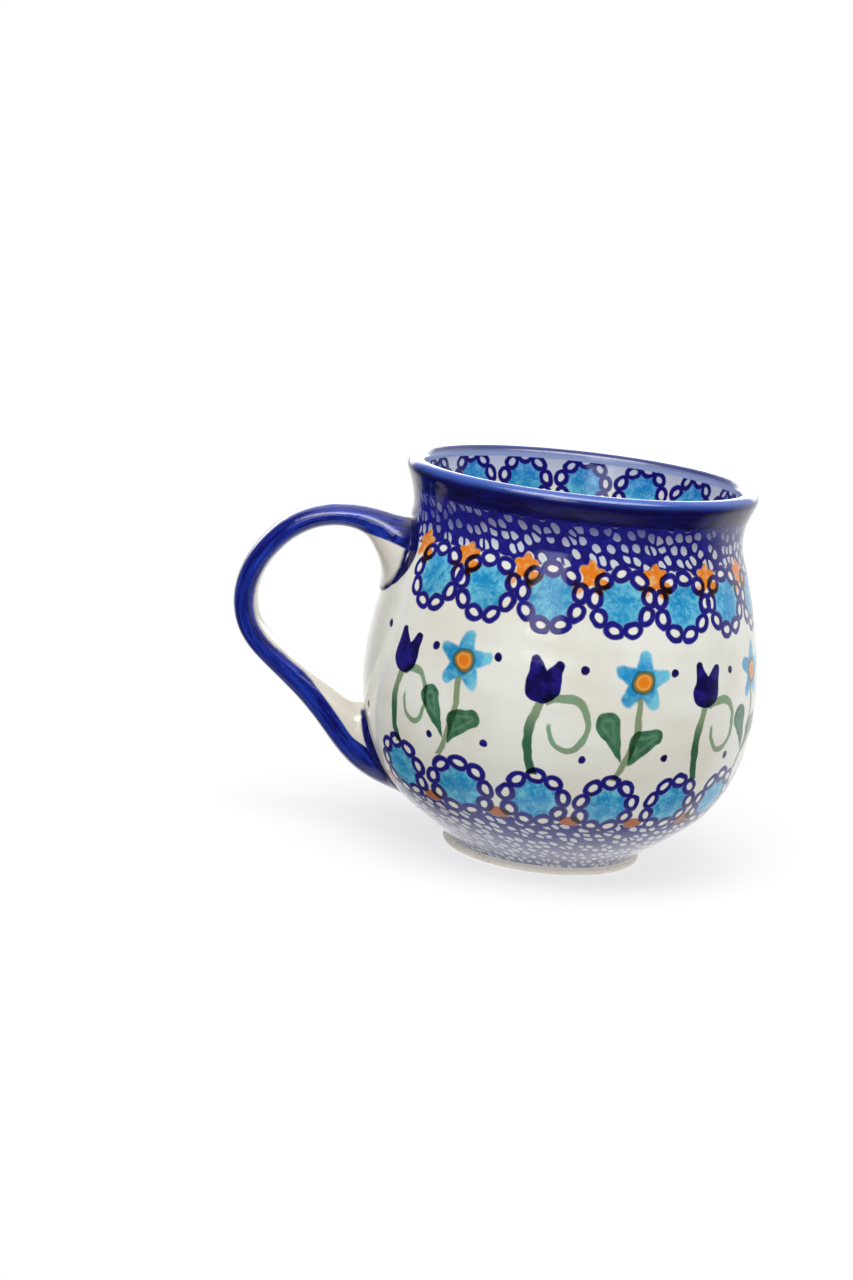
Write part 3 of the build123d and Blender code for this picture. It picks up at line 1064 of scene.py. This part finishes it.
def build_world():
    """White surroundings for the eye; reflections see a dim room in front and bright walls elsewhere."""
    world = bpy.data.worlds.new("studio")
    bpy.context.scene.world = world
    world.use_nodes = True
    g = Graph.__new__(Graph)
    g.tree = world.node_tree
    g.tree.nodes.clear()
    place = g.node("ShaderNodeTexCoord").outputs["Generated"]
    split = g.node("ShaderNodeSeparateXYZ")
    g.feed(split.inputs[0], place)
    x, y, z = [Number(g, socket) for socket in split.outputs]
    azimuth = g.math("ARCTAN2", x, -y) * DEGREES
    elevation = g.math("ARCSINE", z) * DEGREES
    right = g.ramp(azimuth, 88.0, 130.0)
    left = g.ramp(azimuth, -136.0, -162.0)
    overhead = g.ramp(elevation, 40.0, 70.0)
    below = g.ramp(z, -0.72, -0.95)
    walls = g.most(g.most(right, left), g.most(overhead, below))
    softbox = g.ramp(abs(azimuth + 16.0), 13.0, 7.0) * g.ramp(abs(elevation - 27.0), 17.0, 11.0)
    strip = g.ramp(abs(elevation - 61.0), 14.0, 8.0) * g.ramp(abs(azimuth), 95.0, 60.0)
    glare = g.ramp(y, 0.82, 0.95) * g.ramp(abs(elevation - 14.0), 15.0, 9.0)
    reflected = 0.06 + 0.95 * walls + softbox * 2.4 + strip * 6.5 + glare * 3.0
    rays = g.node("ShaderNodeLightPath")
    glossy = Number(g, rays.outputs["Is Glossy Ray"])
    to_eye = Number(g, rays.outputs["Is Camera Ray"])
    diffuse = 0.57 + 0.28 * g.ramp(elevation, -25.0, 55.0) + 0.22 * g.ramp(x, -0.7, 0.7)
    strength = g.choose(to_eye, 1.0, g.choose(glossy, reflected, diffuse))
    background = g.node("ShaderNodeBackground")
    background.inputs[0].default_value = (1.0, 1.0, 1.0, 1.0)
    g.feed(background.inputs[1], strength)
    output = g.node("ShaderNodeOutputWorld")
    g.feed(output.inputs[0], background.outputs[0])


def soft_light(name, azimuth, elevation, distance, width, height, power):
    """An area light aimed at the mug's middle. Azimuth 0 is the camera's side, growing towards +X."""
    data = bpy.data.lights.new(name, "AREA")
    data.shape = "RECTANGLE"
    data.size, data.size_y = width, height
    data.energy = power
    light = bpy.data.objects.new(name, data)
    a, e = math.radians(azimuth), math.radians(elevation)
    aim = Vector((0.0, 0.0, HEIGHT * MM / 2))
    away = Vector((math.sin(a) * math.cos(e), -math.cos(a) * math.cos(e), math.sin(e)))
    light.location = aim + away * distance
    light.rotation_euler = away.to_track_quat("Z", "Y").to_euler()
    bpy.context.scene.collection.objects.link(light)


CAMERA_AIM = Vector((-31.17, 0.0, 45.68)) * MM
CAMERA_DISTANCE = 0.6
CAMERA_ELEVATION, CAMERA_ROLL = 11.47, 6.05
CAMERA_LENS = 73.90


def build_camera():
    data = bpy.data.cameras.new("camera")
    data.lens = CAMERA_LENS
    data.sensor_width = 36.0
    data.clip_start = 0.01
    camera = bpy.data.objects.new("camera", data)
    bpy.context.scene.collection.objects.link(camera)
    e, roll = math.radians(CAMERA_ELEVATION), math.radians(CAMERA_ROLL)
    forward = Vector((0.0, math.cos(e), -math.sin(e)))
    level_right = Vector((1.0, 0.0, 0.0))
    level_up = level_right.cross(forward)
    right = math.cos(roll) * level_right + math.sin(roll) * level_up
    up = math.cos(roll) * level_up - math.sin(roll) * level_right
    turn = Matrix((right, up, -forward)).transposed()
    camera.matrix_world = Matrix.Translation(CAMERA_AIM - forward * CAMERA_DISTANCE) @ turn.to_4x4()
    bpy.context.scene.camera = camera


build_mug()
build_floor()
build_world()
soft_light("window_left", -35.0, 50.0, 0.9, 0.5, 0.5, 2.0)
soft_light("overhead", 0.0, 72.0, 0.8, 0.4, 0.4, 1.5)
build_camera()
bpy.context.scene.view_settings.view_transform = "Standard"
